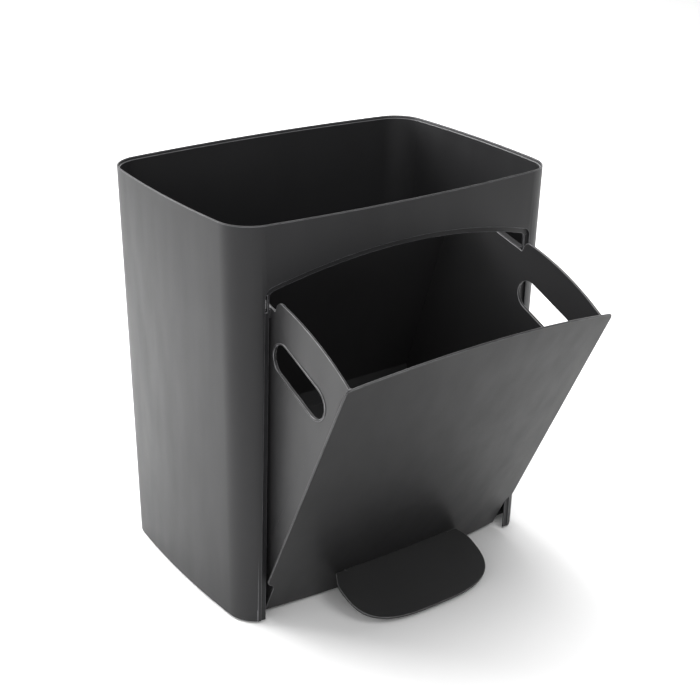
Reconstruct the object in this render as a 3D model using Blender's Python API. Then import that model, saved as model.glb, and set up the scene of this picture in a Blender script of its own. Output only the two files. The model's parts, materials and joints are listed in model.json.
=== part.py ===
"""Tilt-out waste bin: open-topped casing, hinged hopper with a front panel, and a foot pedal.

Metres, +Z up, front faces -Y, floor at z = 0.  The hopper is drawn shut, then tilted to rest open.
Everything is drawn about the casing's centre line, then moved so that the origin is the middle of
the floor area that the object covers at rest.
"""
import math

import bpy

# ---- overall sizes -------------------------------------------------------------------------
CASE_W = 0.400          # casing width over the top rim
CASE_D = 0.281          # casing depth over the top rim
CASE_H = 0.4343         # casing height without the feet
FOOT_PROUD = 0.0020     # how far the rubber feet stand below the casing
TAPER = 0.0264          # the casing's foot is this fraction smaller than its rim
FRONT_BOW_R = 1.654     # plan radius of the front and back faces
SIDE_BOW_R = 1.090      # plan radius of the side faces
CORNER_R = 0.036        # plan radius of the upright corners
WALL = 0.0030           # casing wall
RIM_LIP = 0.0016        # thinner lip above the step inside the rim
RIM_STEP = 0.0028       # depth of that step below the top
RIM_CHAMFER = 0.0005

# ---- tilting parts -------------------------------------------------------------------------
OPEN_ANGLE = math.radians(24.7)   # tilt from shut to the open stop
HINGE_BACK = 0.0563     # pin axis behind the casing's front face
HINGE_UP = 0.0459       # pin axis above the casing's lower edge
GAP = 0.0003            # still gap between neighbouring pieces
RUN_GAP = 0.0030        # running gap between the hopper and the opening

# ---- opening in the casing front -----------------------------------------------------------
JAMB = 0.0415           # casing front left beside the opening, below its arch
OPEN_FLARE = 0.0051     # how much wider each side of the opening is at the floor
ARCH_DOWN = 0.0458      # crown of the opening below the casing's rim
ARCH_RISE = 0.0228      # fall of the arch from crown to corner
ARCH_CORNER = 0.0045    # rounding of the arch's two corners
PANEL_EDGE = 0.0020     # room between the panel's edge and the outside of the rebate
PANEL_SEAT = 0.0005     # room behind the shut panel in the rebate
LIP = 0.0022            # thickness of the lip behind the rebate
LIP_ROOT = 0.0035       # how far the lip laps the back of the casing wall
CORNER_SLOT_H = 0.0170  # upright relief slot at each top corner of the rebate
CORNER_SLOT_W = 0.0030

# ---- hopper --------------------------------------------------------------------------------
PANEL = 0.0025          # front panel thickness
PANEL_LAP = 0.0038      # how far the panel laps the lip beside the opening
PANEL_CLEAR = 0.0019    # panel lower edge above the floor when open
PANEL_WAIST = 0.0600    # below this height the panel narrows to pass the lips
HOP_WALL = 0.0024       # hopper wall
FLOOR_OVER_PIN = 0.0171 # underside of the hopper floor above the pin axis
SKIRT_UP = 0.0240       # lower edge of the skirt under the floor
SKIRT_BACK = 0.1200     # back of the skirt behind the casing's front face
ARC_GAP = 0.0006        # top of the side walls below the arch's corner when they swing past it
ARC_BACK = 0.1375       # back end of that arc behind the casing's front face
ARC_CORNER = 0.0080
SHOULDER_DROP = 0.0248  # low rear part of the side walls below their highest point
SHOULDER_FALL = 0.2126  # its fall per metre towards the back
BACK_ROOM = 0.0285      # outside of the rear wall at its top, in front of the casing's back
HOP_BACK_LEAN = 0.0300  # how far the rear wall's foot stands forward of its top
FLANGE_OUT = 0.0068     # stop flange standing out from the side walls
FLANGE_T = 0.0022
STOP_DROP = 0.0100      # height of the stop face below the flange

SLOT_L = 0.0890         # hand hold length
SLOT_H = 0.0322         # hand hold height
SLOT_BACK = 0.0771      # hand hold centre behind the casing's front face
SLOT_DROP = 0.0581      # hand hold centre below the side walls' highest point
SLOT_TILT = math.radians(-3.2)
SLOT_RIM = 0.0022       # raised rim round the hand hold
SLOT_RIM_OUT = 0.0010

# ---- pedal ---------------------------------------------------------------------------------
PEDAL_HALF = 0.0894
PEDAL_OUT = 0.0772      # reach in front of the panel
PEDAL_WIDEST = 0.0200   # distance from the panel at which it is widest
PEDAL_WAIST = 0.0064    # how much narrower each side is at the panel
PEDAL_ROUND = 3.1       # how square the front edge's curve is (2 is an ellipse)
PEDAL_T = 0.0032
PEDAL_UNDER = 0.0085    # top of the pedal at the panel below the underside of the hopper floor
PEDAL_CLEAR = 0.0039    # pedal's front edge above the floor when open
TONGUE_HALF = 0.0700
TONGUE_IN = 0.0420      # reach of the tongue behind the panel's face

# ---- base and hinge hardware ---------------------------------------------------------------
BASE_T = 0.0030
BASE_UP = 0.0020        # underside of the base above the casing's lower edge
BASE_RIM = 0.0120
BASE_FRONT = 0.0365     # front edge of the base behind the casing's front face
BOSS_R = 0.0120
BOSS_OUT = 0.0025
PIN_R = 0.0040
BUSH_WALL = 0.0018
BUSH_FLANGE_R = 0.0095
BUSH_FLANGE_T = 0.0014
BRACKET_T = 0.0030
BRACKET_FOOT = 0.0180
PIN_HEAD_R = 0.0070
PIN_HEAD_T = 0.0030
FOOT_R = 0.0100
SCREW_R = 0.0019
SCREW_HEAD_R = 0.0038
SCREW_HEAD_T = 0.0024
BOSS_FRONT_IN = 0.1005  # front screw boss behind the casing's front face
BOSS_BACK_IN = 0.0505   # back screw boss in front of the casing's back face
FOOT_SIDE_IN = (0.0540, 0.0500)   # front and back feet in from the casing's side
FOOT_FRONT_IN = 0.0140  # front feet behind the base's front edge
FOOT_BACK_IN = 0.0405   # back feet in front of the casing's back face
PANEL_SCREW_IN = 0.0435 # panel screws in from the side of the opening
PANEL_SCREW_UP = 0.1050 # lower panel screws above the casing's lower edge
PANEL_SCREW_DOWN = 0.0885         # upper panel screws below the crown of the opening
PEDAL_SCREW_OUT = 0.0450          # pedal screws either side of the middle
PEDAL_SCREW_IN = 0.0100 # pedal screws in from the back edge of the tongue

# ---- worked out from the above -------------------------------------------------------------
Z0 = FOOT_PROUD                  # casing's lower edge above the floor
TOP = Z0 + CASE_H
FRONT = -CASE_D / 2
HY = FRONT + HINGE_BACK
HZ = Z0 + HINGE_UP
OPEN_HALF_TOP = CASE_W / 2 - JAMB
OPEN_HALF_FOOT = OPEN_HALF_TOP + OPEN_FLARE
ARCH_UP = CASE_H - ARCH_DOWN     # heights ending in UP are above the casing's lower edge
REBATE = PANEL_LAP + PANEL_EDGE  # width and depth of the rebate round the opening
REBATE_DEEP = PANEL + PANEL_SEAT
ARC_R = ARCH_UP - ARCH_RISE - HINGE_UP - ARC_GAP   # top of the side walls, about the pin axis
SHOULDER_UP = HINGE_UP + ARC_R - SHOULDER_DROP
SLOT_UP = HINGE_UP + ARC_R - SLOT_DROP
HOP_FLOOR_UP = HINGE_UP + FLOOR_OVER_PIN
HOP_BACK = CASE_D - BACK_ROOM
PEDAL_UP = HOP_FLOOR_UP - PEDAL_UNDER
SIDE = OPEN_HALF_TOP - RUN_GAP   # outside of the hopper's side walls
ARCH_SPAN = OPEN_HALF_TOP        # half span over which the arch falls by ARCH_RISE


def material(name, colour, rough):
    mat = bpy.data.materials.new(name)
    mat.use_nodes = True
    shader = mat.node_tree.nodes["Principled BSDF"]
    shader.inputs["Base Color"].default_value = (*colour, 1.0)
    shader.inputs["Roughness"].default_value = rough
    return mat


def add_object(name, verts, faces, mat=None):
    """Make an object with outward faces from plain lists."""
    mesh = bpy.data.meshes.new(name)
    mesh.from_pydata([tuple(v) for v in verts], [], [tuple(f) for f in faces])
    mesh.update()
    ob = bpy.data.objects.new(name, mesh)
    bpy.context.scene.collection.objects.link(ob)
    if volume(mesh) < 0:
        mesh.flip_normals()
    if mat is not None:
        mesh.materials.append(mat)
    return ob


def volume(mesh):
    total = 0.0
    for poly in mesh.polygons:
        pts = [mesh.vertices[i].co for i in poly.vertices]
        for k in range(1, len(pts) - 1):
            total += pts[0].dot(pts[k].cross(pts[k + 1]))
    return total / 6


def loft(name, rings, mat=None, loop=False):
    """Skin equal-length closed rings; cap the ends, or join last to first when loop is set."""
    n = len(rings[0])
    verts = [p for ring in rings for p in ring]
    faces = []
    last = len(rings) if loop else len(rings) - 1
    for k in range(last):
        a = k * n
        b = ((k + 1) % len(rings)) * n
        for i in range(n):
            j = (i + 1) % n
            faces.append((a + i, a + j, b + j, b + i))
    if not loop:
        faces.append(tuple(range(n))[::-1])
        faces.append(tuple(range(len(verts) - n, len(verts))))
    return add_object(name, verts, faces, mat)


def prism_x(name, outline_yz, x0, x1, mat=None):
    return loft(name, [[(x, y, z) for y, z in outline_yz] for x in (x0, x1)], mat)


def prism_z(name, outline_xy, z0, z1, mat=None):
    return loft(name, [[(x, y, z) for x, y in outline_xy] for z in (z0, z1)], mat)


def turned(name, centre, axis, profile, mat=None, steps=32):
    """Turn (distance along axis, radius) pairs; axis is 'x', 'y' or 'z'."""
    rings = []
    for along, rad in profile:
        ring = []
        for i in range(steps):
            a = 2 * math.pi * i / steps
            u = rad * math.cos(a)
            v = rad * math.sin(a)
            local = {"x": (along, u, v), "y": (v, along, u), "z": (u, v, along)}[axis]
            ring.append(tuple(c + d for c, d in zip(centre, local)))
        rings.append(ring)
    return rings_object(name, rings, mat)


def rings_object(name, rings, mat):
    ob = loft(name, rings, mat)
    smooth(ob)
    return ob


def tube_turned(name, centre, profile, mat, steps=32):
    """Turn a closed (along x, radius) section into a ring with a bore."""
    rings = []
    for along, rad in profile:
        ring = []
        for i in range(steps):
            a = 2 * math.pi * i / steps
            ring.append((centre[0] + along, centre[1] + rad * math.cos(a), centre[2] + rad * math.sin(a)))
        rings.append(ring)
    ob = loft(name, rings, mat, loop=True)
    smooth(ob)
    return ob


def smooth(ob, angle=35.0):
    """Smooth shading with edges sharper than the angle kept crisp."""
    mesh = ob.data
    for poly in mesh.polygons:
        poly.use_smooth = True
    mesh.set_sharp_from_angle(angle=math.radians(angle))


def combine(ob, tool, kind):
    """Join or cut with a helper solid that is kept hidden."""
    tool.hide_render = True
    tool.display_type = "WIRE"
    tool.hide_viewport = False
    mod = ob.modifiers.new(kind.lower() + "_" + tool.name, "BOOLEAN")
    mod.operation = kind
    mod.solver = "EXACT"
    mod.object = tool
    return ob


def cut(ob, tool):
    return combine(ob, tool, "DIFFERENCE")


def join(ob, tool):
    return combine(ob, tool, "UNION")


def bevel(ob, width, angle=40.0, segments=2):
    mod = ob.modifiers.new("edge", "BEVEL")
    mod.width = width
    mod.segments = segments
    mod.limit_method = "ANGLE"
    mod.angle_limit = math.radians(angle)
    mod.harden_normals = False
    return ob


def tilt_open(ob):
    """Swing a shut-position mesh to the open stop and put its origin on the pin axis."""
    c = math.cos(OPEN_ANGLE)
    s = math.sin(OPEN_ANGLE)
    for v in ob.data.vertices:
        y = v.co.y - HY
        z = v.co.z - HZ
        v.co.y = c * y - s * z
        v.co.z = s * y + c * z
    ob.location = (0.0, HY, HZ)
    return ob


def shut_point(y, z):
    """Shut-position place of a point given in the open position."""
    c = math.cos(OPEN_ANGLE)
    s = math.sin(OPEN_ANGLE)
    dy = y - HY
    dz = z - HZ
    return (HY + c * dy + s * dz, HZ - s * dy + c * dz)


# ---- casing plan ---------------------------------------------------------------------------
def taper(z):
    return 1 - TAPER * (TOP - z) / CASE_H


def corner_geometry():
    """Front-left corner centre and its two tangent points on the full-size plan."""
    c1 = (0.0, -CASE_D / 2 + FRONT_BOW_R)
    c2 = (-CASE_W / 2 + SIDE_BOW_R, 0.0)
    r1 = FRONT_BOW_R - CORNER_R
    r2 = SIDE_BOW_R - CORNER_R
    dx = c2[0] - c1[0]
    dy = c2[1] - c1[1]
    d = math.hypot(dx, dy)
    t = (r1 * r1 - r2 * r2 + d * d) / (2 * d)
    h = math.sqrt(r1 * r1 - t * t)
    px = c1[0] + t * dx / d
    py = c1[1] + t * dy / d
    picks = [(px + h * k * -dy / d, py + h * k * dx / d) for k in (1, -1)]
    centre = min(picks, key=lambda p: p[0] + p[1])
    return c1, c2, centre


FRONT_C, SIDE_C, CORNER_C = corner_geometry()


def quarter(scale, inset, n_side=8, n_corner=10, n_front=12):
    """Front-left quarter of the plan from (-x, 0) round to (0, -y)."""
    a_side = math.atan2(CORNER_C[1] - SIDE_C[1], CORNER_C[0] - SIDE_C[0]) % (2 * math.pi)
    a_front = math.atan2(CORNER_C[1] - FRONT_C[1], CORNER_C[0] - FRONT_C[0]) % (2 * math.pi)
    pts = []
    spans = [(SIDE_C, SIDE_BOW_R, math.pi, a_side, n_side),
             (CORNER_C, CORNER_R, a_side, a_front, n_corner),
             (FRONT_C, FRONT_BOW_R, a_front, 1.5 * math.pi, n_front)]
    for centre, radius, a0, a1, n in spans:
        first = 0 if not pts else 1
        for k in range(first, n + 1):
            a = a0 + (a1 - a0) * k / n
            r = radius * scale - inset
            pts.append((centre[0] * scale + r * math.cos(a), centre[1] * scale + r * math.sin(a)))
    return pts


def plan(z, inset=0.0):
    """Closed casing plan at a height, moved inwards by inset."""
    q = quarter(taper(z), inset)
    right = [(-x, y) for x, y in q[::-1]]
    back = [(-x, -y) for x, y in q]
    left = [(x, -y) for x, y in q[::-1]]
    return q + right[1:] + back[1:] + left[1:-1]


def plan_ring(z, inset=0.0):
    return [(x, y, z) for x, y in plan(z, inset)]


def front_y(x, z, inset=0.0):
    """Y of the bowed front face, carried on past the corners."""
    s = taper(z)
    r = FRONT_BOW_R * s - inset
    return FRONT_C[1] * s - math.sqrt(r * r - x * x)


# ---- bowed slabs with an arched top --------------------------------------------------------
def half_width(z, top_half, foot_half):
    """Straight flare of the opening between the arch corners and the floor."""
    z_top = Z0 + ARCH_UP - ARCH_RISE
    t = (z_top - z) / (z_top - Z0)
    return top_half + (foot_half - top_half) * t


def arch_z(x, crown, half, corner):
    z = crown - ARCH_RISE * (x / ARCH_SPAN) ** 2
    over = abs(x) - (half - corner)
    if over > 0:
        z -= corner - math.sqrt(max(corner * corner - over * over, 0.0))
    return z


def slab_columns(half, corner, count):
    """Column positions from -1 to 1, closer together round the arch corners."""
    inner = 1 - corner / half
    cols = [inner * (-1 + 2 * k / count) for k in range(count + 1)]
    edge = [inner + (1 - inner) * math.sin(math.radians(a)) for a in (30, 50, 65, 78, 90)]
    return [-e for e in edge[::-1]] + cols + edge


def slab(name, width_at, foot, crown, corner, inset0, inset1, mat=None, low_rows=(), count=24):
    """Solid between two insets of the bowed front, with an arched top and a straight foot."""
    top_half = width_at(crown - ARCH_RISE)
    cols = slab_columns(top_half, corner, count)
    rows = [foot, *low_rows]
    nrow = len(rows) + 4
    verts = []
    for inset in (inset0, inset1):
        for u in cols:
            z_top = arch_z(u * top_half, crown, top_half, corner)
            zs = rows + [rows[-1] + (z_top - rows[-1]) * k / 4 for k in (1, 2, 3, 4)]
            for z in zs:
                x = u * width_at(z) if z < z_top - 1e-9 else u * top_half
                verts.append((x, front_y(x, z, inset), z))
    return add_object(name, verts, grid_faces(len(cols), nrow), mat)


def grid_faces(ncol, nrow):
    """Faces of two matching grids joined round their border."""
    half = ncol * nrow
    faces = []
    for i in range(ncol - 1):
        for j in range(nrow - 1):
            a = i * nrow + j
            quad = (a, a + nrow, a + nrow + 1, a + 1)
            faces.append(quad)
            faces.append(tuple(half + k for k in quad[::-1]))
    border = [i * nrow for i in range(ncol)]
    border += [(ncol - 1) * nrow + j for j in range(1, nrow)]
    border += [i * nrow + nrow - 1 for i in range(ncol - 2, -1, -1)]
    border += [j for j in range(nrow - 2, 0, -1)]
    for k, a in enumerate(border):
        b = border[(k + 1) % len(border)]
        faces.append((b, a, half + a, half + b))
    return faces


# ---- casing --------------------------------------------------------------------------------
def casing_section():
    """(inset, height) of the wall section, once round."""
    return [(0.0, Z0), (0.0, TOP - RIM_CHAMFER), (RIM_CHAMFER, TOP), (RIM_LIP - RIM_CHAMFER, TOP),
            (RIM_LIP, TOP - RIM_CHAMFER), (RIM_LIP, TOP - RIM_STEP), (WALL, TOP - RIM_STEP), (WALL, Z0)]


def make_casing(mat):
    rings = [plan_ring(z, inset) for inset, z in casing_section()]
    ob = loft("casing_shell", rings, mat, loop=True)
    smooth(ob, 30)
    crown = Z0 + ARCH_UP

    def inner(z):
        return half_width(z, OPEN_HALF_TOP, OPEN_HALF_FOOT)

    def outer(z):
        return inner(z) + REBATE

    def root(z):
        return outer(z) + LIP_ROOT
    frame = slab("lip_blank", root, Z0, crown + REBATE + LIP_ROOT, 0.008, WALL - 0.0007, REBATE_DEEP + LIP,
                 count=25)
    join(ob, frame)
    for side in (-1, 1):
        for y in BOSS_YS:
            join(ob, casing_boss(side, y))
    below = Z0 - 0.01
    cut(ob, slab("opening_cut", inner, below, crown, ARCH_CORNER, -0.02, 0.03, count=23))
    cut(ob, slab("rebate_cut", outer, below, crown + REBATE, ARCH_CORNER + 0.002, -0.02, REBATE_DEEP, count=27))
    for side in (-1, 1):
        cut(ob, corner_slot(side))
        for y in BOSS_YS:
            cut(ob, boss_hole(side, y))
    return ob


def corner_slot(side):
    """Upright relief slot through the lip beside the top corner of the opening."""
    z1 = Z0 + ARCH_UP - ARCH_RISE - 0.002
    x1 = half_width(z1, OPEN_HALF_TOP, OPEN_HALF_FOOT) + REBATE - 0.0005
    x0 = x1 - CORNER_SLOT_W
    y0 = front_y(x0, z1, 0.0) - 0.004
    outline = [(side * x0, y0), (side * x1, y0), (side * x1, y0 + 0.02), (side * x0, y0 + 0.02)]
    return prism_z("slot_cut_" + tag(side), outline, z1 - CORNER_SLOT_H, z1)


def tag(side):
    return "left" if side < 0 else "right"


BOSS_YS = (FRONT + BOSS_FRONT_IN, -FRONT - BOSS_BACK_IN)


def boss_centre(side, y):
    """Screw boss standing just inside the side wall."""
    z = Z0 + 0.02
    s = taper(z)
    r = SIDE_BOW_R * s
    x = math.sqrt(r * r - y * y) - SIDE_C[0] * s - WALL - 0.0062
    return side * x, y


def casing_boss(side, y):
    """Upright boss webbed to the wall, above the base."""
    x, y = boss_centre(side, y)
    z0 = Z0 + BASE_UP + BASE_T + GAP
    z1 = z0 + 0.020
    pts = []
    for k in range(17):
        a = -math.pi / 2 + math.pi * k / 16
        pts.append((x - side * 0.0042 * math.cos(a), y + 0.0042 * math.sin(a)))
    out = x + side * 0.0078
    pts += [(out, y + 0.0042), (out, y - 0.0042)]
    name = "boss_" + tag(side) + ("_back" if y > 0 else "_front")
    return prism_z(name, pts, z0, z1)


def boss_hole(side, y):
    x, y = boss_centre(side, y)
    z0 = Z0 + BASE_UP + BASE_T
    name = "boss_hole_" + tag(side) + ("_back" if y > 0 else "_front")
    return turned(name, (x, y, z0 - 0.002), "z", [(0, SCREW_R + GAP), (0.015, SCREW_R + GAP)], None, 20)


# ---- base ----------------------------------------------------------------------------------
def base_plan(z, inset, y_min):
    """Casing plan cut off straight at the front."""
    pts = [p for p in plan(z, inset)]
    kept = [p for p in pts if p[1] > y_min]
    start = next(i for i, p in enumerate(pts) if p[1] > y_min and pts[i - 1][1] <= y_min)
    kept = [pts[(start + k) % len(pts)] for k in range(len(kept))]
    right = edge_x(pts, y_min)
    return [(right, y_min)] + kept + [(-right, y_min)]


def edge_x(pts, y):
    for i, p in enumerate(pts):
        q = pts[(i + 1) % len(pts)]
        if p[0] > 0 and p[1] <= y < q[1]:
            return p[0] + (q[0] - p[0]) * (y - p[1]) / (q[1] - p[1])
    return max(p[0] for p in pts)


def make_base(mat):
    z0 = Z0 + BASE_UP
    z1 = z0 + BASE_T
    front = FRONT + BASE_FRONT
    rim = WALL + GAP
    ob = loft("base_tray", [[(x, y, z) for x, y in base_plan(z0, rim, front)] for z in (z0, z0 + BASE_RIM)], mat)
    inner = base_plan(z0, rim + 0.0024, front - 0.01)
    cut(ob, prism_z("tray_cut", inner, z1, z0 + 0.03))
    for side in (-1, 1):
        for y in BOSS_YS:
            x, yy = boss_centre(side, y)
            notch = [(x - side * 0.0048, yy - 0.0050), (x + side * 0.02, yy - 0.0050),
                     (x + side * 0.02, yy + 0.0050), (x - side * 0.0048, yy + 0.0050)]
            cut(ob, prism_z("notch_" + tag(side) + ("_b" if y > 0 else "_f"), notch, z1 + 0.0001, z0 + 0.03))
            tool = turned("base_hole_" + tag(side) + ("_b" if y > 0 else "_f"), (x, yy, z0 - 0.002), "z",
                          [(0, SCREW_R + GAP), (0.0075, SCREW_R + GAP)], None, 20)
            cut(ob, tool)
        for k, (x, y) in enumerate(foot_spots(side)):
            tool = turned("stem_hole_%s_%d" % (tag(side), k), (x, y, z0 - 0.002), "z",
                          [(0, 0.0030), (0.0075, 0.0030)], None, 24)
            cut(ob, tool)
        for k, (x, y) in enumerate(bracket_screw_spots(side)):
            tool = turned("base_screw_hole_%s_%d" % (tag(side), k), (x, y, z0 - 0.002), "z",
                          [(0, SCREW_R + GAP), (0.0075, SCREW_R + GAP)], None, 20)
            cut(ob, tool)
    return ob


def foot_spots(side):
    front, back = (CASE_W / 2 - d for d in FOOT_SIDE_IN)
    return [(side * front, FRONT + BASE_FRONT + FOOT_FRONT_IN), (side * back, -FRONT - FOOT_BACK_IN)]


def make_foot(name, x, y, mat):
    z0 = Z0 + BASE_UP
    profile = [(0.0, FOOT_R - 0.0006), (0.0006, FOOT_R), (z0 - GAP - 0.0006, FOOT_R), (z0 - GAP, FOOT_R - 0.0006),
               (z0 - GAP, 0.0027), (z0 + BASE_T - GAP, 0.0027)]
    return turned(name, (x, y, 0.0), "z", profile, mat, 36)


def screw(name, centre, axis, sign, length, mat):
    """Pan-head screw: head on the far side of centre, shank running along sign."""
    h = SCREW_HEAD_T
    r = SCREW_HEAD_R
    pts = [(-h * 0.45, 0.0009), (-h * 0.45, 0.0012), (-h, 0.0017), (-h, 0.0024), (-h * 0.72, r * 0.88),
           (-h * 0.35, r), (0.0, r), (0.0, SCREW_R), (length - 0.0012, SCREW_R), (length, SCREW_R * 0.45)]
    return turned(name, centre, axis, [(sign * a, b) for a, b in pts], mat, 20)


# ---- hinge hardware ------------------------------------------------------------------------
def stack():
    """Positions along X of the hinge pieces on the right-hand side."""
    boss = SIDE + BOSS_OUT
    flange = boss + GAP
    bracket = flange + BUSH_FLANGE_T + GAP
    head = bracket + BRACKET_T + GAP
    return boss, flange, bracket, head


def make_bush(side, mat):
    boss, flange, bracket, head = stack()
    r_in = PIN_R + GAP
    r_out = r_in + BUSH_WALL
    x_in = SIDE - HOP_WALL + 0.0002
    sec = [(x_in, r_in), (x_in, r_out), (flange, r_out), (flange, BUSH_FLANGE_R),
           (flange + BUSH_FLANGE_T, BUSH_FLANGE_R), (flange + BUSH_FLANGE_T, r_in)]
    ob = tube_turned("hinge_bush_" + tag(side), (0, HY, HZ), [(side * a, b) for a, b in sec], mat)
    return tilt_open(ob)


def make_pin(side, mat):
    boss, flange, bracket, head = stack()
    x_in = SIDE - HOP_WALL - 0.0046
    pts = [(x_in, PIN_R - 0.0006), (x_in + 0.0006, PIN_R), (head, PIN_R), (head, PIN_HEAD_R - 0.0004),
           (head + 0.0004, PIN_HEAD_R), (head + PIN_HEAD_T - 0.0008, PIN_HEAD_R),
           (head + PIN_HEAD_T, PIN_HEAD_R - 0.0010)]
    return turned("hinge_pin_" + tag(side), (0, HY, HZ), "x", [(side * a, b) for a, b in pts], mat, 32)


def make_clip(side, mat):
    """Push-on clip holding the pin inside the skirt."""
    x1 = SIDE - HOP_WALL - 0.0010
    x0 = x1 - 0.0016
    r_in = PIN_R + GAP
    r_out = 0.0078
    sec = [(x0, r_in), (x0, r_out - 0.0012), (x0 + 0.0008, r_out), (x1, r_out), (x1, r_in)]
    return tube_turned("pin_clip_" + tag(side), (0, HY, HZ), [(side * a, b) for a, b in sec], mat)


def bracket_screw_spots(side):
    boss, flange, bracket, head = stack()
    x = bracket + BRACKET_T + 0.0085
    return [(side * x, HY - 0.0088), (side * x, HY + 0.0088)]


def make_bracket(side, mat):
    """Angle bracket: a rounded upright round the pin and a foot on the base."""
    boss, flange, bracket, head = stack()
    z0 = Z0 + BASE_UP + BASE_T + GAP
    t = BRACKET_T
    half = 0.0140
    upright = [(HY - half, z0)]
    for k in range(25):
        a = math.pi - math.pi * k / 24
        upright.append((HY + half * math.cos(a), HZ + half * math.sin(a)))
    upright.append((HY + half, z0))
    ob = prism_x("hinge_bracket_" + tag(side), upright, side * bracket, side * (bracket + t), mat)
    x1 = bracket + BRACKET_FOOT
    foot = [(HY - half - 0.0008, z0 - 0.0), (HY - half - 0.0008, z0 + t), (HY + half + 0.0008, z0 + t),
            (HY + half + 0.0008, z0 - 0.0)]
    join(ob, prism_x("bracket_foot_" + tag(side), foot, side * (bracket + 0.0005), side * x1))
    hole = turned("bracket_bore_" + tag(side), (side * bracket, HY, HZ), "x",
                  [(-0.004, PIN_R + GAP), (0.008, PIN_R + GAP)], None, 32)
    cut(ob, hole)
    for k, (x, y) in enumerate(bracket_screw_spots(side)):
        cut(ob, turned("bracket_hole_%s_%d" % (tag(side), k), (x, y, z0 - 0.002), "z",
                       [(0, SCREW_R + GAP), (0.008, SCREW_R + GAP)], None, 20))
    return ob


# ---- hopper --------------------------------------------------------------------------------
FACE = PANEL + GAP                       # outside of the hopper's front wall, as an inset
FLOOR_Z = Z0 + HOP_FLOOR_UP
ARC_Y = FRONT + ARC_BACK
BACK_TOP_Y = FRONT + HOP_BACK
BACK_FOOT_Y = BACK_TOP_Y - HOP_BACK_LEAN
SKIRT_Z = Z0 + SKIRT_UP
RIB_Y = FRONT + SKIRT_BACK
SHOULDER_Y = ARC_Y + 0.0055              # front end of the low rear part


SIDE_BAND = SIDE - HOP_WALL - 0.0008     # just inside the side walls


def shoulder_z(y):
    return Z0 + SHOULDER_UP - SHOULDER_FALL * (y - SHOULDER_Y)


def panel_crown():
    """Top of the panel sits mid-way up the rebate."""
    return Z0 + ARCH_UP + REBATE * 0.5


def hopper_front_top(x):
    """Top of the hopper's front wall: follows the arch, level over the side walls."""
    x = min(abs(x), SIDE_BAND)
    return panel_crown() - 0.0060 - ARCH_RISE * (x / ARCH_SPAN) ** 2


def arc_points():
    """Side-wall top from the front to the rounded back corner, then down to the shoulder."""
    pts = []
    a0 = math.asin((FRONT + 0.0145 - HY) / ARC_R)
    a1 = math.asin((ARC_Y - HY) / ARC_R)
    r = ARC_CORNER
    a_end = math.asin((ARC_Y - r - HY) / (ARC_R - r))
    for k in range(15):
        a = a0 + (a_end - a0) * k / 14
        pts.append((HY + ARC_R * math.sin(a), HZ + ARC_R * math.cos(a)))
    cy = HY + (ARC_R - r) * math.sin(a_end)
    cz = HZ + (ARC_R - r) * math.cos(a_end)
    for k in range(1, 8):
        a = a_end + (math.pi / 2 - a_end) * k / 7
        pts.append((cy + r * math.sin(a), cz + r * math.cos(a)))
    assert a1 > a_end
    pts.append((ARC_Y, shoulder_z(SHOULDER_Y) + 0.0022))
    pts.append((ARC_Y + 0.0009, shoulder_z(SHOULDER_Y) + 0.0006))
    pts.append((SHOULDER_Y - 0.0022, shoulder_z(SHOULDER_Y - 0.0022)))
    return pts


def hopper_ring(x):
    """Shut-position outline of the hopper block at one station across its width."""
    top = hopper_front_top(x)
    ring = []
    for z in (SKIRT_Z, SKIRT_Z + 0.11, SKIRT_Z + 0.22, top):
        ring.append((x, front_y(x, z, FACE), z))
    ring.append((x, front_y(SIDE, top, FACE) + 0.0040, top))
    ring += [(x, y, z) for y, z in arc_points()]
    ring.append((x, BACK_TOP_Y, shoulder_z(BACK_TOP_Y)))
    ring.append((x, BACK_FOOT_Y + 0.004, FLOOR_Z + 0.012))
    ring.append((x, BACK_FOOT_Y - 0.010, FLOOR_Z))
    ring.append((x, RIB_Y, FLOOR_Z))
    ring.append((x, RIB_Y, SKIRT_Z))
    return ring


def stations(half):
    return [half * (-1 + 2 * k / 24) for k in range(25)]


def hollow_ring(x, z_floor):
    """Space inside the hopper, open upwards."""
    w = HOP_WALL
    high = TOP + 0.05
    ring = []
    for z in (z_floor, z_floor + 0.15, high):
        ring.append((x, front_y(x, z, FACE + w), z))
    lean = HOP_BACK_LEAN / (shoulder_z(BACK_TOP_Y) - FLOOR_Z)
    ring.append((x, BACK_TOP_Y - w + lean * (high - shoulder_z(BACK_TOP_Y)), high))
    ring.append((x, BACK_FOOT_Y + 0.004 - w, FLOOR_Z + 0.012 + w))
    ring.append((x, BACK_FOOT_Y - 0.010 - w * 0.6, z_floor))
    return ring


def skirt_ring(x, low):
    """Space under the hopper floor, open downwards."""
    z1 = FLOOR_Z
    y1 = RIB_Y - HOP_WALL
    return [(x, front_y(x, low, FACE + HOP_WALL), low), (x, front_y(x, z1, FACE + HOP_WALL), z1),
            (x, y1, z1), (x, y1, low)]


def stadium(length, height, cy, cz, angle, n=14):
    """Closed (y, z) outline of a rounded-end slot."""
    r = height / 2
    half = length / 2 - r
    pts = []
    for k in range(n + 1):
        a = -math.pi / 2 + math.pi * k / n
        pts.append((half + r * math.cos(a), r * math.sin(a)))
    for k in range(n + 1):
        a = math.pi / 2 + math.pi * k / n
        pts.append((-half + r * math.cos(a), r * math.sin(a)))
    c = math.cos(angle)
    s = math.sin(angle)
    return [(cy + c * y - s * z, cz + s * y + c * z) for y, z in pts]


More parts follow.
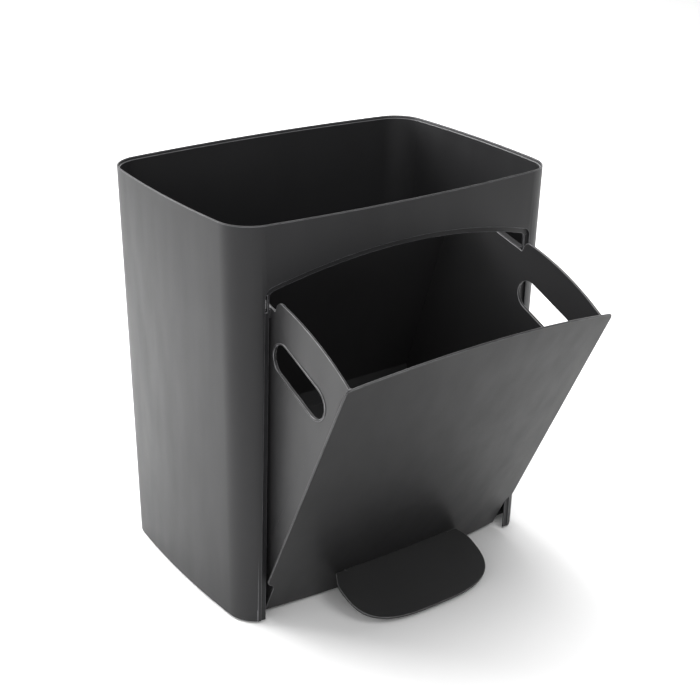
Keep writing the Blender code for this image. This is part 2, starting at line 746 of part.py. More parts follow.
def flange_plate():
    """U-shaped flange round the low rear part, following its slope."""
    out = SIDE + FLANGE_OUT
    inn = SIDE - HOP_WALL * 0.5
    y0 = stop_edge(0.0)[0] + 0.0002
    y1 = BACK_TOP_Y + FLANGE_OUT
    y2 = BACK_TOP_Y - HOP_WALL * 0.5
    plan_pts = [(-out, y0), (-inn, y0), (-inn, y2), (inn, y2), (inn, y0), (out, y0), (out, y1 - 0.004),
                (out - 0.004, y1), (-out + 0.004, y1), (-out, y1 - 0.004)]
    rings = []
    for drop in (0.0004 + FLANGE_T, 0.0004):
        rings.append([(x, y, shoulder_z(y) - drop) for x, y in plan_pts])
    return loft("flange", rings)


def lip_back(z_open):
    """Shut-position point that lies just behind the lip when the hopper is open."""
    x = SIDE + FLANGE_OUT
    return shut_point(front_y(x, z_open, REBATE_DEEP + LIP) + GAP, z_open)


def stop_height():
    """Open-position height at which the flange's top meets the back of the lip."""
    z_open = Z0 + SHOULDER_UP
    for _ in range(40):
        y, z = lip_back(z_open)
        z_open += (shoulder_z(y) - 0.0004 - z) * 0.8
    return z_open


def stop_edge(down):
    """Shut-position point of the stop face, a given height below the flange's top."""
    return lip_back(stop_height() - down)


def stop_block(side):
    """Thickened front end of the flange that meets the lip when open."""
    y0, z0 = stop_edge(FLANGE_T * 0.5)
    y1, z1 = stop_edge(STOP_DROP)
    y2 = y0 + 0.013
    outline = [(y0, z0), (y1, z1), (y1 + 0.004, z1 - 0.001), (y2, shoulder_z(y2) - 0.0004 - FLANGE_T * 0.6)]
    return prism_x("stop_" + tag(side), outline, side * (SIDE - 0.0008), side * (SIDE + FLANGE_OUT - 0.0003))


def panel_screw_spots():
    x = OPEN_HALF_TOP - PANEL_SCREW_IN
    low = Z0 + PANEL_SCREW_UP
    high = Z0 + ARCH_UP - PANEL_SCREW_DOWN
    return [(-x, low), (-x, high), (x, low), (x, high)]


def make_hopper(mat):
    across = [-SIDE] + stations(SIDE_BAND) + [SIDE]
    ob = loft("hopper_bucket", [hopper_ring(x) for x in across], mat)
    smooth(ob, 30)
    half = SIDE - HOP_WALL
    hollow = loft("hopper_hollow", [hollow_ring(x, FLOOR_Z + HOP_WALL) for x in stations(half)])
    under = loft("skirt_hollow", [skirt_ring(x, SKIRT_Z - 0.02) for x in stations(half)])
    tools = [("DIFFERENCE", hollow), ("DIFFERENCE", under), ("UNION", flange_plate())]
    for side in (-1, 1):
        tools.append(("UNION", stop_block(side)))
        tools.append(("UNION", slot_rim(side)))
        boss = turned("hinge_boss_" + tag(side), (0, HY, HZ), "x",
                      [(side * (SIDE - 0.0009), BOSS_R), (side * (SIDE + BOSS_OUT), BOSS_R)], None, 40)
        tools.append(("UNION", boss))
    for side in (-1, 1):
        pts = stadium(SLOT_L, SLOT_H, FRONT + SLOT_BACK, Z0 + SLOT_UP, SLOT_TILT)
        tools.append(("DIFFERENCE", prism_x("hand_cut_" + tag(side), pts, side * (SIDE - 0.01), side * (SIDE + 0.01))))
        bore_r = PIN_R + GAP + BUSH_WALL + GAP
        tools.append(("DIFFERENCE", turned("boss_bore_" + tag(side), (0, HY, HZ), "x",
                      [(side * (SIDE - 0.01), bore_r), (side * (SIDE + 0.01), bore_r)], None, 40)))
    for k, (x, z) in enumerate(panel_screw_spots()):
        y = front_y(x, z, FACE)
        tools.append(("DIFFERENCE", turned("front_hole_%d" % k, (x, y, z), "y",
                      [(-0.005, PILLAR_R + GAP), (0.006, PILLAR_R + GAP)], None, 24)))
    tools.append(("DIFFERENCE", tongue_slot("hopper_slot", GAP)))
    for k, x in enumerate(PEDAL_SCREW_XS):
        tools.append(("UNION", pedal_pillar(k, x)))
        tools.append(("DIFFERENCE", pedal_pilot(k, x)))
    for kind, tool in tools:
        tilt_open(tool)
        combine(ob, tool, kind)
    return tilt_open(ob)


def slot_rim(side):
    """Raised rim round the outside of the hand hold."""
    pts = stadium(SLOT_L + 2 * SLOT_RIM, SLOT_H + 2 * SLOT_RIM, FRONT + SLOT_BACK, Z0 + SLOT_UP, SLOT_TILT)
    return prism_x("hand_rim_" + tag(side), pts, side * (SIDE - 0.0010), side * (SIDE + SLOT_RIM_OUT))


# ---- front panel ---------------------------------------------------------------------------
PILLAR_R = 0.0040       # pillars on the panel's back
PEDAL_PILLAR_R = 0.0052 # pillars under the hopper floor


def panel_half(z):
    """Panel half width: lapping the lips, narrower near the foot so it can swing in between them."""
    wide = half_width(z, OPEN_HALF_TOP, OPEN_HALF_FOOT) + PANEL_LAP
    narrow = OPEN_HALF_TOP - 0.0010
    hi = Z0 + PANEL_WAIST + 0.012
    lo = Z0 + PANEL_WAIST
    if z >= hi:
        return wide
    if z <= lo:
        return narrow
    t = (z - lo) / (hi - lo)
    return narrow + (wide - narrow) * t * t * (3 - 2 * t)


def open_height(y, z):
    """Height at the open stop of a point given in the shut position."""
    return HZ + math.sin(OPEN_ANGLE) * (y - HY) + math.cos(OPEN_ANGLE) * (z - HZ)


def panel_foot():
    """Shut-position height of the panel's lower edge, which just clears the floor when open."""
    z = Z0
    for _ in range(40):
        z += PANEL_CLEAR - open_height(front_y(0.0, z), z)
    return z


def make_panel(mat):
    foot = panel_foot()
    lo = Z0 + PANEL_WAIST
    rows = [foot + 0.015, lo] + [lo + 0.012 * k / 6 for k in range(1, 7)]
    ob = slab("front_panel", panel_half, foot, panel_crown(), 0.0035, 0.0, PANEL, mat, rows)
    smooth(ob, 30)
    tools = []
    for k, (x, z) in enumerate(panel_screw_spots()):
        y = front_y(x, z, FACE)
        tools.append(("UNION", turned("panel_pillar_%d" % k, (x, y, z), "y",
                      [(-PANEL * 0.6, PILLAR_R), (HOP_WALL + 0.0016, PILLAR_R)], None, 24)))
        tools.append(("DIFFERENCE", turned("panel_pilot_%d" % k, (x, y, z), "y",
                      [(-0.0006, SCREW_R + GAP), (0.008, SCREW_R + GAP)], None, 20)))
    tools.append(("DIFFERENCE", tongue_slot("panel_slot", GAP)))
    for kind, tool in tools:
        tilt_open(tool)
        combine(ob, tool, kind)
    return tilt_open(ob)


# ---- pedal ---------------------------------------------------------------------------------
PEDAL_SCREW_XS = (-PEDAL_SCREW_OUT, PEDAL_SCREW_OUT)


def pedal_rise():
    """Slope of the shut pedal, front edge up, that leaves the open one just clear of the floor."""
    z = Z0 + PEDAL_UP
    y = front_y(0.0, z)
    fall = open_height(y, z) - PEDAL_T - PEDAL_CLEAR
    return OPEN_ANGLE - math.asin(fall / PEDAL_OUT)


PEDAL_RISE = pedal_rise()


def pedal_line(dist):
    """(y, z) on the pedal's top face, a distance in front of the panel (negative behind)."""
    z0 = Z0 + PEDAL_UP
    y0 = front_y(0.0, z0)
    return y0 - dist * math.cos(PEDAL_RISE), z0 + dist * math.sin(PEDAL_RISE)


def pedal_back(x):
    """The plate's back edge follows the bowed panel."""
    z0 = Z0 + PEDAL_UP
    return front_y(0.0, z0) - front_y(x, z0) + 0.0005


def pedal_outline():
    """(x, distance) outline: rounded plate in front, narrower tongue behind."""
    root = PEDAL_HALF - PEDAL_WAIST
    r = 0.0030
    right = [(TONGUE_HALF, -TONGUE_IN), (TONGUE_HALF, pedal_back(TONGUE_HALF)),
             ((TONGUE_HALF + root - r) / 2, pedal_back((TONGUE_HALF + root - r) / 2))]
    for k in range(0, 6):
        a = math.radians(-90 + 18 * k)
        right.append((root - r + r * math.cos(a), pedal_back(root - r) + r + r * math.sin(a)))
    d0 = pedal_back(root - r) + r
    for k in range(1, 6):
        t = k / 6
        right.append((root + PEDAL_WAIST * math.sin(t * math.pi / 2), d0 + (PEDAL_WIDEST - d0) * t))
    for k in range(0, 18):
        a = math.pi / 2 * k / 18
        x = PEDAL_HALF * math.cos(a) ** (2 / PEDAL_ROUND)
        right.append((x, PEDAL_WIDEST + (PEDAL_OUT - PEDAL_WIDEST) * math.sin(a) ** (2 / PEDAL_ROUND)))
    left = [(-x, d) for x, d in right[::-1]]
    return right + [(0.0, PEDAL_OUT)] + left


def make_pedal(mat):
    rings = []
    n = (math.sin(PEDAL_RISE), math.cos(PEDAL_RISE))
    outline = pedal_outline()
    for drop in (PEDAL_T, 0.0):
        ring = []
        for x, d in outline:
            y, z = pedal_line(d)
            ring.append((x, y - n[0] * drop, z - n[1] * drop))
        rings.append(ring)
    ob = loft("foot_pedal", rings, mat)
    for k, x in enumerate(PEDAL_SCREW_XS):
        y, z = pedal_line(-TONGUE_IN + PEDAL_SCREW_IN)
        tool = turned("pedal_hole_%d" % k, (x, y, z), "z", [(-0.008, SCREW_R + GAP), (0.006, SCREW_R + GAP)], None, 20)
        tilt_open(tool)
        cut(ob, tool)
    tilt_open(ob)
    bevel(ob, 0.0007, 50)
    smooth(ob, 30)
    return ob


def tongue_slot(name, gap):
    """Slot that lets the pedal's tongue through the panel and the hopper's front wall."""
    n = (math.sin(PEDAL_RISE), math.cos(PEDAL_RISE))
    half = TONGUE_HALF + gap
    corners = []
    for d, up in ((0.012, gap), (-0.016, gap), (-0.016, -PEDAL_T - gap), (0.012, -PEDAL_T - gap)):
        y, z = pedal_line(d)
        corners.append((y + n[0] * up, z + n[1] * up))
    return prism_x(name, corners, -half, half)


def pedal_pillar(k, x):
    """Pillar under the hopper floor that takes a pedal screw."""
    y, z = pedal_line(-TONGUE_IN + PEDAL_SCREW_IN)
    top = FLOOR_Z + 0.0010
    low = z + 0.0010 + PEDAL_PILLAR_R * abs(math.tan(PEDAL_RISE))
    return turned("floor_pillar_%d" % k, (x, y, 0.0), "z", [(low, PEDAL_PILLAR_R), (top, PEDAL_PILLAR_R)], None, 24)


def pedal_pilot(k, x):
    y, z = pedal_line(-TONGUE_IN + PEDAL_SCREW_IN)
    return turned("floor_pilot_%d" % k, (x, y, 0.0), "z", [(z - 0.004, SCREW_R + GAP), (z + 0.0085, SCREW_R + GAP)],
                  None, 20)


# ---- build ---------------------------------------------------------------------------------
def make_moving_screws(mat):
    for k, (x, z) in enumerate(panel_screw_spots()):
        y = front_y(x, z, FACE) + HOP_WALL + 0.0016 + GAP
        tilt_open(screw("panel_screw_%d" % (k + 1), (x, y, z), "y", -1, 0.0048, mat))
    for k, x in enumerate(PEDAL_SCREW_XS):
        y, z = pedal_line(-TONGUE_IN + PEDAL_SCREW_IN)
        z -= (PEDAL_T + GAP) / math.cos(PEDAL_RISE) + SCREW_HEAD_R * abs(math.tan(PEDAL_RISE))
        tilt_open(screw("pedal_screw_%d" % (k + 1), (x, y, z), "z", 1, 0.0100, mat))


def make_still_screws(mat):
    for side in (-1, 1):
        for k, (x, y) in enumerate(bracket_screw_spots(side)):
            z = Z0 + BASE_UP + BASE_T + GAP + BRACKET_T + GAP
            screw("bracket_screw_%s_%d" % (tag(side), k + 1), (x, y, z), "z", -1, BASE_T + BRACKET_T + GAP, mat)
        for y, end in zip(BOSS_YS, ("front", "back")):
            x, yy = boss_centre(side, y)
            z = Z0 + BASE_UP - GAP
            screw("base_screw_%s_%s" % (tag(side), end), (x, yy, z), "z", 1, 0.0125, mat)


def rest_middle():
    """Y of the middle of the space taken at rest, from the panel's top edge to the casing's back."""
    crown = panel_crown()
    tip = HY + math.cos(OPEN_ANGLE) * (front_y(0.0, crown) - HY) - math.sin(OPEN_ANGLE) * (crown - HZ)
    return (tip + CASE_D / 2) / 2


def main():
    for ob in list(bpy.data.objects):
        bpy.data.objects.remove(ob, do_unlink=True)
    shell = material("charcoal_shell", (0.045, 0.045, 0.047), 0.42)
    bucket = material("charcoal_bucket", (0.040, 0.040, 0.042), 0.45)
    front = material("charcoal_panel", (0.042, 0.042, 0.044), 0.40)
    pedal = material("charcoal_pedal", (0.030, 0.030, 0.031), 0.55)
    tray = material("black_tray", (0.020, 0.020, 0.021), 0.60)
    steel = material("zinc_steel", (0.55, 0.56, 0.58), 0.35)
    nylon = material("natural_nylon", (0.62, 0.60, 0.55), 0.50)
    rubber = material("black_rubber", (0.015, 0.015, 0.015), 0.85)
    make_casing(shell)
    make_base(tray)
    make_hopper(bucket)
    make_panel(front)
    make_pedal(pedal)
    for side in (-1, 1):
        make_bush(side, nylon)
        make_pin(side, steel)
        make_clip(side, steel)
        make_bracket(side, steel)
        for (x, y), end in zip(foot_spots(side), ("front", "back")):
            make_foot("rubber_foot_%s_%s" % (tag(side), end), x, y, rubber)
    make_moving_screws(steel)
    make_still_screws(steel)
    for ob in bpy.data.objects:
        ob.location.y -= rest_middle()


main()
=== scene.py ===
"""Studio scene for the tilt-out waste bin: moulded charcoal plastic on a pale floor.

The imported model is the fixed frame.  This file gives every solid its moulded, rounded edges and a
procedural finish, and adds the floor, the light and the camera.  Metres, +Z up, the hopper's front
panel faces -Y.
"""
import json
import math

import bmesh
import bpy
from mathutils import Matrix, Vector


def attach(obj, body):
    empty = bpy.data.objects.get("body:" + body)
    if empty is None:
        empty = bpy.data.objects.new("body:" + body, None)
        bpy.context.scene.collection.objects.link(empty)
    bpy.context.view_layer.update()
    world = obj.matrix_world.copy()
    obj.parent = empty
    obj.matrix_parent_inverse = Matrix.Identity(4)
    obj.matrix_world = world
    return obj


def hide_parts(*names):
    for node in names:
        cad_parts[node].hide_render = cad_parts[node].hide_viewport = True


# ---- camera --------------------------------------------------------------------------------
CAM_AZIMUTH = math.radians(-35.74)
CAM_ELEVATION = math.radians(24.17)
CAM_ROLL = math.radians(1.12)
CAM_DISTANCE = 1.4855
CAM_TARGET = Vector((0.0193, 0.0574, 0.2224))
CAM_LENS = 68.78         # mm
CAM_SENSOR = 36.0        # mm
CAM_NEAR = 0.02
CAM_FAR = 60.0

# ---- floor ---------------------------------------------------------------------------------
FLOOR_HALF = 14.0
FLOOR_COLOUR = (0.90, 0.90, 0.90)
FLOOR_ROUGH = 0.9

# ---- light ---------------------------------------------------------------------------------
DIAG = math.sqrt(0.5)
LOBE_FALL = 2.0          # how fast a lobe falls off to its sides, a power of the cosine
LOBES = (                # (axis, strength): soft light from round about, strongest along the axis
    ((-DIAG, DIAG, 0.0), 1.50),
    ((DIAG, DIAG, 0.0), 1.80),
    ((-DIAG, -DIAG, 0.0), 2.10),
)
LAMPS = (                # name, place, aimed at, side of the square, watts
    ("top_back", (0.0, 1.6, 2.0), (0.0, 0.3, 0.0), 1.2, 40.0),
    ("top_front", (0.3, -1.6, 2.1), (0.0, -0.2, 0.0), 1.2, 14.0),
    ("top", (0.0, 0.0, 2.4), (0.0, 0.0, 0.0), 1.4, 34.0),
    ("low_left", (-1.3, 0.5, 1.2), (-0.8, 0.3, 0.0), 0.9, 2.0),
    ("low_left_back", (-0.75, 0.75, 0.70), (-0.40, 0.35, 0.0), 0.5, 10.0),
    ("far_floor", (1.6, 3.6, 2.2), (1.6, 3.6, 0.0), 2.5, 45.0),
    ("right", (2.3, 0.0, 0.8), (0.0, 0.0, 0.2), 1.4, 3.0),
    ("right_back", (1.8, 1.6, 0.8), (0.0, 0.0, 0.2), 1.4, 6.0),
)

# ---- edges ---------------------------------------------------------------------------------
ROUNDING = (             # (start of the node's name, rounding): the first that fits is used
    ("casing_shell", 0.0006), ("hopper_bucket", 0.0005), ("front_panel", 0.0006),
    ("foot_pedal", 0.0005), ("base_tray", 0.0006), ("hinge_bracket", 0.0003),
    ("hinge_bush", 0.0003), ("hinge_pin", 0.0003), ("pin_clip", 0.0002),
    ("rubber_foot", 0.0006), ("", 0.0002),
)
SHARP = math.radians(33)         # a fold sharper than this is rounded
CREASE = math.radians(40)        # shading breaks only at a fold sharper than this
MERGE = 2e-6                     # the CAD meshes come with split corners
SHORT = 0.4                      # an edge shorter than this share of the rounding is closed up
ROUND_STEPS = 2                  # flat strips across one rounding
FLAT_WEIGHT = 80                 # how far large faces rule the shading at a corner, of 100

# ---- moulded plastic: sizes are counts to the metre, depths are metres ------------------------
CLOUD_SIZE = 7.0                 # colour clouding, about 140 mm
FLOW_SIZE = 46.0                 # flow marks
FLOW_STRETCH = (1.0, 1.0, 0.22)  # drawn out upwards
FLECK_SIZE = 1500.0              # pigment flecks, under 1 mm
DUST_SIZE = 320.0                # dust and fine scuffs, about 3 mm
RUB_AND_SHEEN_SIZE = 90.0                  # patches of wear and painted highlight along an edge, about 11 mm
SINK_SIZE = 16.0                 # sink marks, about 60 mm
SINK_DEPTH = 0.00012
GRAIN_SIZE = 1150.0              # spark-eroded grain, under 1 mm
GRAIN_DEPTH = 0.00003
CLOUD_SHARE = 0.6                # of the colour variation, the rest being flecks
COLOUR_SPAN = 0.16               # the colour varies by this share either way
ROUGH_SPAN = 0.035               # the roughness varies by this much either way
DUST_PALER = 3.2                 # times the plastic's colour
EDGE_PALER = 9.0                 # times the plastic's colour, where an edge is fully rubbed: wear and a painted highlight
EDGE_GLOSS = 0.10                # a rubbed edge is smoother by this much
PLASTIC_IOR = 1.36

# ---- sockets of Blender's colour Mix node ----------------------------------------------------
MIX_A = 6
MIX_B = 7
MIX_RESULT = 2


# ============================================================================================
# shader nodes
# ============================================================================================
class Net:
    """Short ways to add and join shader nodes."""

    def __init__(self, tree):
        self.tree = tree

    def add(self, kind, **settings):
        node = self.tree.nodes.new(kind)
        for key, value in settings.items():
            setattr(node, key, value)
        return node

    def link(self, a, b):
        self.tree.links.new(a, b)

    def put(self, value, socket):
        """Joins an output to a socket, or sets the socket to a number or colour."""
        if isinstance(value, bpy.types.NodeSocket):
            self.link(value, socket)
        else:
            socket.default_value = value

    def math(self, operation, a, b):
        node = self.add("ShaderNodeMath", operation=operation)
        self.put(a, node.inputs[0])
        self.put(b, node.inputs[1])
        return node.outputs[0]

    def span(self, value, low, high, to_low, to_high):
        """value from low..high, held there, to to_low..to_high."""
        node = self.add("ShaderNodeMapRange")
        self.put(value, node.inputs["Value"])
        node.inputs["From Min"].default_value = low
        node.inputs["From Max"].default_value = high
        node.inputs["To Min"].default_value = to_low
        node.inputs["To Max"].default_value = to_high
        return node.outputs["Result"]

    def mix(self, share, a, b):
        node = self.add("ShaderNodeMix", data_type="RGBA")
        self.put(share, node.inputs["Factor"])
        for value, place in ((a, MIX_A), (b, MIX_B)):
            if isinstance(value, tuple):
                value = (*value, 1.0)
            self.put(value, node.inputs[place])
        return node.outputs[MIX_RESULT]

    def place(self, stretch=(1.0, 1.0, 1.0)):
        """The object's own coordinates in metres, stretched."""
        where = self.add("ShaderNodeTexCoord").outputs["Object"]
        if stretch == (1.0, 1.0, 1.0):
            return where
        node = self.add("ShaderNodeMapping")
        self.link(where, node.inputs["Vector"])
        node.inputs["Scale"].default_value = stretch
        return node.outputs["Vector"]

    def noise(self, where, scale, detail, rough=0.5):
        node = self.add("ShaderNodeTexNoise")
        self.link(where, node.inputs["Vector"])
        node.inputs["Scale"].default_value = scale
        node.inputs["Detail"].default_value = detail
        node.inputs["Roughness"].default_value = rough
        return node.outputs["Fac"]

    def bump(self, height, distance, under=None):
        node = self.add("ShaderNodeBump")
        self.link(height, node.inputs["Height"])
        node.inputs["Distance"].default_value = distance
        node.inputs["Strength"].default_value = 1.0
        if under is not None:
            self.link(under, node.inputs["Normal"])
        return node.outputs["Normal"]


def start(name):
    """A new material, its nodes and its shader."""
    mat = bpy.data.materials.new(name)
    mat.use_nodes = True
    return mat, Net(mat.node_tree), mat.node_tree.nodes["Principled BSDF"]


def times(colour, factor):
    return tuple(min(1.0, c * factor) for c in colour)


# ============================================================================================
# camera, floor and light
# ============================================================================================
def camera_axes():
    """Right, up and back unit vectors of the camera."""
    flat = math.cos(CAM_ELEVATION)
    back = Vector((math.sin(CAM_AZIMUTH) * flat, -math.cos(CAM_AZIMUTH) * flat, math.sin(CAM_ELEVATION)))
    level = (-back).cross(Vector((0, 0, 1))).normalized()
    rise = level.cross(-back)
    right = level * math.cos(CAM_ROLL) + rise * math.sin(CAM_ROLL)
    up = rise * math.cos(CAM_ROLL) - level * math.sin(CAM_ROLL)
    return right, up, back


def add_camera():
    right, up, back = camera_axes()
    data = bpy.data.cameras.new("camera")
    data.lens = CAM_LENS
    data.sensor_width = CAM_SENSOR
    data.clip_start = CAM_NEAR
    data.clip_end = CAM_FAR
    cam = bpy.data.objects.new("camera", data)
    bpy.context.scene.collection.objects.link(cam)
    turn = Matrix((right, up, back)).transposed().to_4x4()
    cam.matrix_world = Matrix.Translation(CAM_TARGET + back * CAM_DISTANCE) @ turn
    bpy.context.scene.camera = cam


def add_floor():
    half = FLOOR_HALF
    mesh = bpy.data.meshes.new("floor")
    corners = [(-half, -half, 0), (half, -half, 0), (half, half, 0), (-half, half, 0)]
    mesh.from_pydata(corners, [], [(0, 1, 2, 3)])
    floor = bpy.data.objects.new("floor", mesh)
    bpy.context.scene.collection.objects.link(floor)
    mat, _, shader = start("pale_floor")
    shader.inputs["Base Color"].default_value = (*FLOOR_COLOUR, 1.0)
    shader.inputs["Roughness"].default_value = FLOOR_ROUGH
    mesh.materials.append(mat)


def add_area(name, where, aim, size, power):
    data = bpy.data.lights.new(name, "AREA")
    data.shape = "SQUARE"
    data.size = size
    data.energy = power
    lamp = bpy.data.objects.new(name, data)
    lamp.location = where
    lamp.rotation_euler = (Vector(aim) - Vector(where)).to_track_quat("-Z", "Y").to_euler()
    bpy.context.scene.collection.objects.link(lamp)


def add_sky():
    """Soft light from all round, brighter towards some axes."""
    world = bpy.data.worlds.new("studio")
    world.use_nodes = True
    net = Net(world.node_tree)
    back = world.node_tree.nodes["Background"]
    back.inputs["Color"].default_value = (1.0, 1.0, 1.0, 1.0)
    way = net.add("ShaderNodeTexCoord").outputs["Generated"]
    total = 0.0
    for axis, strength in LOBES:
        facing = net.add("ShaderNodeVectorMath", operation="DOT_PRODUCT")
        net.link(way, facing.inputs[0])
        facing.inputs[1].default_value = axis
        lobe = net.math("POWER", net.math("MAXIMUM", facing.outputs["Value"], 0.0), LOBE_FALL)
        total = net.math("ADD", net.math("MULTIPLY", lobe, strength), total)
    net.put(total, back.inputs["Strength"])
    bpy.context.scene.world = world


def add_light():
    add_sky()
    for lamp in LAMPS:
        add_area(*lamp)
    bpy.context.scene.view_settings.view_transform = "Standard"


# ============================================================================================
# materials
# ============================================================================================
def moulded(name, colour, rough, grain=1.0, edge_wear_and_sheen=0.5):
    """Injection-moulded plastic: spark-eroded grain, flow clouding, rubbed edges with a painted
    highlight, light dust.
    """
    mat, net, shader = start(name)
    here = net.place()
    cloud = net.noise(here, CLOUD_SIZE, 3.0)
    flow = net.noise(net.place(FLOW_STRETCH), FLOW_SIZE, 3.0)
    fleck = net.noise(here, FLECK_SIZE, 2.0)
    dust = net.noise(here, DUST_SIZE, 5.0, 0.65)

    # colour: clouds and flecks, then dust, then the rubbed edges, paled for wear and as a painted
    # highlight
    clouds = net.math("MULTIPLY", cloud, CLOUD_SHARE)
    shade = net.math("ADD", clouds, net.math("MULTIPLY", fleck, 1.0 - CLOUD_SHARE))
    dark, pale = times(colour, 1.0 - COLOUR_SPAN), times(colour, 1.0 + COLOUR_SPAN)
    base = net.mix(net.span(shade, 0.30, 0.70, 0.0, 1.0), dark, pale)
    base = net.mix(net.span(dust, 0.66, 0.78, 0.0, 0.10), base, times(colour, DUST_PALER))
    # the outer rounded edges are painted paler: partly wear, partly a painted highlight of the rim's
    # sheen
    edge = net.add("ShaderNodeAttribute", attribute_name="edge").outputs["Fac"]
    rub_and_sheen = net.span(net.noise(here, RUB_AND_SHEEN_SIZE, 4.0, 0.6), 0.38, 0.62, 0.55, 1.0)
    worn_and_highlit = net.math("MULTIPLY", net.math("MULTIPLY", edge, rub_and_sheen), edge_wear_and_sheen)
    base = net.mix(worn_and_highlit, base, times(colour, EDGE_PALER))
    net.link(base, shader.inputs["Base Color"])

    # roughness: flow marks, duller where dusty, smoother where rubbed
    matt = net.span(flow, 0.30, 0.70, rough - ROUGH_SPAN, rough + ROUGH_SPAN)
    matt = net.math("ADD", matt, net.span(dust, 0.60, 0.80, 0.0, 0.08))
    matt = net.math("SUBTRACT", matt, net.math("MULTIPLY", edge, EDGE_GLOSS))
    net.link(matt, shader.inputs["Roughness"])

    # relief: faint sink marks under the grain
    sunk = net.bump(net.noise(here, SINK_SIZE, 1.0), SINK_DEPTH)
    grained = net.bump(net.noise(here, GRAIN_SIZE, 3.0, 0.6), GRAIN_DEPTH * grain, sunk)
    net.link(grained, shader.inputs["Normal"])
    shader.inputs["IOR"].default_value = PLASTIC_IOR
    return mat


def zinc(name):
    """Zinc-plated steel: faint spangle and rolling lines."""
    mat, net, shader = start(name)
    here = net.place()
    cells = net.add("ShaderNodeTexVoronoi")
    net.link(here, cells.inputs["Vector"])
    cells.inputs["Scale"].default_value = 420.0
    tone = net.add("ShaderNodeSeparateColor")
    net.link(cells.outputs["Color"], tone.inputs["Color"])
    rolled = net.noise(net.place((1.0, 12.0, 12.0)), 110.0, 3.0)
    spangle = net.math("MULTIPLY", tone.outputs["Red"], 0.5)
    shade = net.math("ADD", spangle, net.math("MULTIPLY", rolled, 0.5))
    net.link(net.mix(shade, (0.43, 0.44, 0.45), (0.60, 0.60, 0.59)), shader.inputs["Base Color"])
    shader.inputs["Metallic"].default_value = 1.0
    net.link(net.span(rolled, 0.3, 0.7, 0.28, 0.46), shader.inputs["Roughness"])
    net.link(net.bump(rolled, 0.00002), shader.inputs["Normal"])
    return mat


def nylon(name):
    """Natural nylon: milky, slightly waxy, a fine turned grain."""
    mat, net, shader = start(name)
    here = net.place()
    cloud = net.noise(here, 130.0, 3.0)
    net.link(net.mix(cloud, (0.58, 0.55, 0.47), (0.74, 0.71, 0.63)), shader.inputs["Base Color"])
    shader.inputs["Subsurface Weight"].default_value = 0.15
    shader.inputs["Subsurface Scale"].default_value = 0.002
    net.link(net.span(cloud, 0.3, 0.7, 0.40, 0.52), shader.inputs["Roughness"])
    turned = net.noise(net.place((10.0, 1.0, 1.0)), 300.0, 2.0)
    net.link(net.bump(turned, 0.00003), shader.inputs["Normal"])
    return mat


def rubber(name):
    """Black rubber: dull, with a dusty bloom and a coarse skin."""
    mat, net, shader = start(name)
    here = net.place()
    bloom = net.noise(here, 150.0, 5.0, 0.6)
    dusty = net.span(bloom, 0.4, 0.75, 0.0, 1.0)
    net.link(net.mix(dusty, (0.010, 0.010, 0.011), (0.045, 0.044, 0.042)), shader.inputs["Base Color"])
    net.link(net.span(bloom, 0.3, 0.7, 0.70, 0.88), shader.inputs["Roughness"])
    net.link(net.bump(net.noise(here, 900.0, 3.0), 0.00006), shader.inputs["Normal"])
    return mat


def make_materials():
    """{slot: material}"""
    return {
        "charcoal_shell": moulded("charcoal_shell", (0.0150, 0.0149, 0.0158), 0.42, edge_wear_and_sheen=0.8),
        # the bucket is paler than the shell: painted light for the hopper's shaded inside
        "charcoal_bucket": moulded("charcoal_bucket", (0.0275, 0.0272, 0.0282), 0.42, edge_wear_and_sheen=0.8),
        "charcoal_panel": moulded("charcoal_panel", (0.0118, 0.0117, 0.0122), 0.42, edge_wear_and_sheen=0.8),
        "charcoal_pedal": moulded("charcoal_pedal", (0.0185, 0.0184, 0.0188), 0.55, grain=1.6),
        "black_tray": moulded("black_tray", (0.0100, 0.0100, 0.0103), 0.55, grain=1.8, edge_wear_and_sheen=0.3),
        "zinc_steel": zinc("zinc_steel"),
        "natural_nylon": nylon("natural_nylon"),
        "black_rubber": rubber("black_rubber"),
    }


# ============================================================================================
# pieces
# ============================================================================================
def rounding(name):
    """The width of a node's rounded edges."""
    return next(width for beginning, width in ROUNDING if name.startswith(beginning))


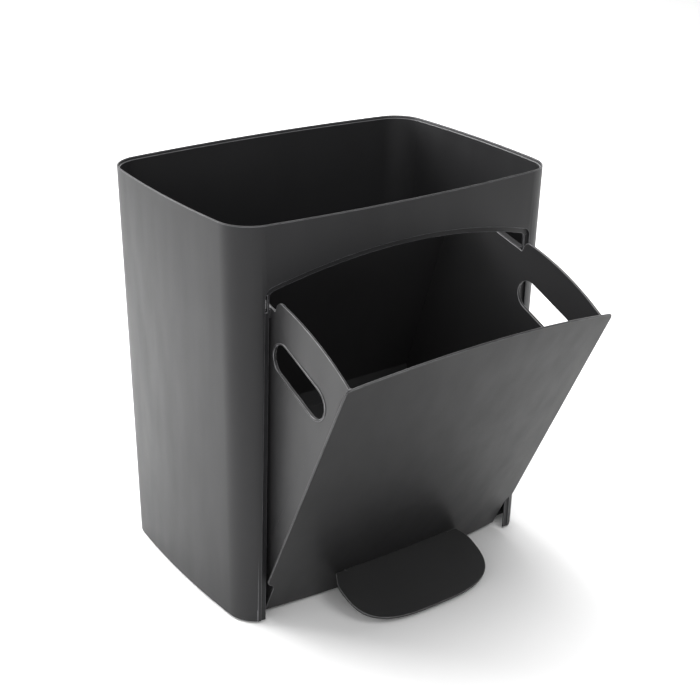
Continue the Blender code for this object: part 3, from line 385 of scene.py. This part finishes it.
def skin(node, name, width):
    """The node's solid as one smooth mesh with its folds rounded and its outer rounds marked edge, for
    wear and a painted highlight.
    """
    bm = bmesh.new()
    bm.from_mesh(node.data)
    mark = bm.faces.layers.float.new("edge")
    bmesh.ops.remove_doubles(bm, verts=bm.verts, dist=MERGE)
    bmesh.ops.dissolve_degenerate(bm, dist=SHORT * width, edges=bm.edges)
    folds = [e for e in bm.edges if len(e.link_faces) == 2 and e.calc_face_angle(0) > SHARP]
    made = bmesh.ops.bevel(bm, geom=folds, offset=width, offset_type="OFFSET",
                           segments=ROUND_STEPS, profile=0.5, affect="EDGES",
                           clamp_overlap=False, material=-1, loop_slide=True,
                           mark_sharp=False, harden_normals=False)
    for face in made["faces"]:
        turn = sum(e.calc_face_angle_signed(0) for e in face.edges)
        if turn > 0:             # an inner corner turns the other way and gets no wear or painted highlight
            face[mark] = 1.0
    bmesh.ops.triangulate(bm, faces=[f for f in bm.faces if len(f.verts) > 4])
    mesh = bpy.data.meshes.new(name)
    bm.to_mesh(mesh)
    bm.free()
    for polygon in mesh.polygons:
        polygon.use_smooth = True
    mesh.set_sharp_from_angle(angle=CREASE)
    piece = bpy.data.objects.new(name, mesh)
    bpy.context.scene.collection.objects.link(piece)
    shading = piece.modifiers.new("shading", "WEIGHTED_NORMAL")
    shading.keep_sharp = True
    shading.weight = FLAT_WEIGHT
    return piece


def dress(cad, node, body, finish):
    """Puts the finish on the CAD node and on the rounded piece that stands for it."""
    cad.data.materials.clear()
    cad.data.materials.append(finish)
    piece = skin(cad, node + "_skin", rounding(node))
    piece.data.materials.append(finish)
    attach(piece, body)
    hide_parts(node)


def slot_of_each_node(record):
    """{node: slot} from the record's subparts."""
    return {row["node"]: row["material_slot"] for row in record["subparts"]}


# ============================================================================================
# the object
# ============================================================================================
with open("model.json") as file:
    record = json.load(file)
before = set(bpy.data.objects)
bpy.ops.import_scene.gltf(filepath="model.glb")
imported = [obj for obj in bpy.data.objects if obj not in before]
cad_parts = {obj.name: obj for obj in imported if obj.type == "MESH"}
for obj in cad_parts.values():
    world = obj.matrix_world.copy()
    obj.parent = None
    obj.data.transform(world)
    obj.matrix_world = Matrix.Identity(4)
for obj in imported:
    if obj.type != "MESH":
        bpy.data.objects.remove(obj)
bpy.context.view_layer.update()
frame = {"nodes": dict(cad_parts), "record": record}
add_camera()
add_floor()
add_light()

finishes = make_materials()
slots = slot_of_each_node(frame["record"])
for body, members in frame["record"]["behaviour"]["bodies"].items():
    for node in members:
        dress(frame["nodes"][node], node, body, finishes[slots[node]])
